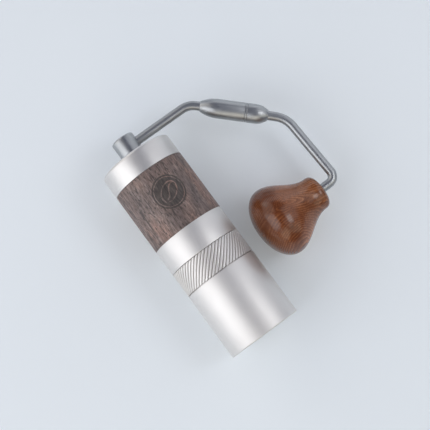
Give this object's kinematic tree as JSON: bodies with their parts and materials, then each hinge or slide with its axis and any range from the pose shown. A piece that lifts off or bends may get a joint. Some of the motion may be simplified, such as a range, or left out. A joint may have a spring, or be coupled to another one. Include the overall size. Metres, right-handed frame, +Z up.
{
  "type": "hand crank coffee grinder",
  "caption": "Slim cylindrical hand coffee grinder with a screw-off cup, knurled ring, wood grip sleeve, conical burrs and a folding crank with a turned wooden knob.",
  "frame": {"origin": "centre of the flat base of the catch cup", "axes": "+Z up the body's axis, +X towards the folded crank, +Y completes the right-handed set; the crank lies in the XZ plane at rest"},
  "size_m": [0.1143, 0.046, 0.1425],
  "materials": {
    "cup_aluminium": "satin bead-blasted, clear anodised",
    "body_aluminium": "satin bead-blasted, clear anodised",
    "lid_aluminium": "satin bead-blasted, clear anodised",
    "dark_wood": "weathered dark grey-brown, open vertical grain, matte",
    "turned_wood": "glossy lacquered reddish-brown, turned",
    "crank_steel": "satin stainless",
    "burr_steel": "hardened, ground",
    "carrier_aluminium": "machined",
    "shaft_steel": "ground stainless",
    "screw_steel": "plain stainless",
    "spring_steel": "drawn wire and stamped strip",
    "bearing_steel": "polished",
    "cage_brass": "turned",
    "seal_rubber": "matte black silicone",
    "bushing_plastic": "natural acetal"
  },
  "bodies": {
    "body": {"body_shell": "body_aluminium", "wood_grip_band": "dark_wood", "upper_carrier": "carrier_aluminium", "carrier_circlip": "spring_steel", "lower_carrier": "carrier_aluminium", "burr_seat": "carrier_aluminium", "outer_burr": "burr_steel", "burr_screws": "screw_steel", "cup_o_ring": "seal_rubber", "lid_o_ring": "seal_rubber", "upper_bearing_outer_race": "bearing_steel", "upper_bearing_shields": "bearing_steel", "lower_bearing_outer_race": "bearing_steel", "lower_bearing_shields": "bearing_steel"},
    "cup": {"catch_cup": "cup_aluminium"},
    "lid": {"lid": "lid_aluminium", "lid_bushing": "bushing_plastic"},
    "drive": {"main_shaft": "shaft_steel", "shaft_clip": "spring_steel", "shaft_end_clip": "spring_steel", "burr_spring": "spring_steel", "upper_bearing_inner_race": "bearing_steel", "lower_bearing_inner_race": "bearing_steel"},
    "ball_sets": {"upper_bearing_balls": "bearing_steel", "upper_bearing_cage": "cage_brass", "lower_bearing_balls": "bearing_steel", "lower_bearing_cage": "cage_brass"},
    "burr": {"inner_burr": "burr_steel"},
    "dial": {"adjust_dial": "carrier_aluminium", "detent_balls": "bearing_steel", "detent_springs": "spring_steel"},
    "crank": {"crank_hub": "crank_steel", "hub_clip": "spring_steel", "inner_rod": "crank_steel", "swivel_socket": "crank_steel", "swivel_bushing": "cage_brass", "swivel_spring": "spring_steel"},
    "swivel_slider": {"swivel_thrust_washer": "shaft_steel"},
    "outer_arm": {"swivel_pin": "shaft_steel", "swivel_collar": "crank_steel", "swivel_end": "crank_steel", "outer_rod": "crank_steel", "knob_screw": "screw_steel", "knob_washer": "shaft_steel"},
    "knob": {"knob": "turned_wood", "knob_bushing": "cage_brass", "knob_cap": "turned_wood"}
  },
  "joints": [
    {"name": "cup_off", "type": "slide", "parent": "body", "child": "cup", "axis": [0, 0, -1], "range_m": [0, 0.07]},
    {"name": "lid_lift", "type": "slide", "parent": "body", "child": "lid", "axis": [0, 0, 1], "range_m": [0, 0.06]},
    {"name": "crank_spin", "type": "hinge", "parent": "body", "child": "drive", "pos_m": [0, 0, 0.0889], "axis": [0, 0, -1], "continuous": true},
    {"name": "ball_orbit", "type": "hinge", "parent": "body", "child": "ball_sets", "pos_m": [0, 0, 0.0889], "axis": [0, 0, -1], "continuous": true},
    {"name": "burr_shift", "type": "slide", "parent": "drive", "child": "burr", "axis": [0, 0, 1], "range_m": [-0.0015, 0.00075], "deforming": ["burr_spring"]},
    {"name": "dial_turn", "type": "hinge", "parent": "burr", "child": "dial", "pos_m": [0, 0, 0.056], "axis": [0, 0, 1], "range_deg": [-720, 360]},
    {"name": "crank_lift", "type": "slide", "parent": "drive", "child": "crank", "axis": [0, 0, 1], "range_m": [0, 0.06]},
    {"name": "arm_pull", "type": "slide", "parent": "crank", "child": "swivel_slider", "axis": [0.7206, 0, -0.6934], "range_m": [0, 0.0025], "stiffness_N_per_m": 1500, "springref_m": -0.004, "deforming": ["swivel_spring"]},
    {"name": "arm_fold", "type": "hinge", "parent": "swivel_slider", "child": "outer_arm", "pos_m": [0.04917, 0, 0.13162], "axis": [-0.7206, 0, 0.6934], "range_deg": [0, 180]},
    {"name": "knob_spin", "type": "hinge", "parent": "outer_arm", "child": "knob", "pos_m": [0.07811, 0, 0.04893], "axis": [-0.9998, 0, -0.0175], "continuous": true}
  ],
  "couplings": [
    {"joint": "crank_lift", "follows": "lid_lift", "ratio": 1},
    {"joint": "ball_orbit", "follows": "crank_spin", "ratio": 0.41667},
    {"joint": "dial_turn", "follows": "burr_shift", "rad_per_m": 8377.5}
  ]
}
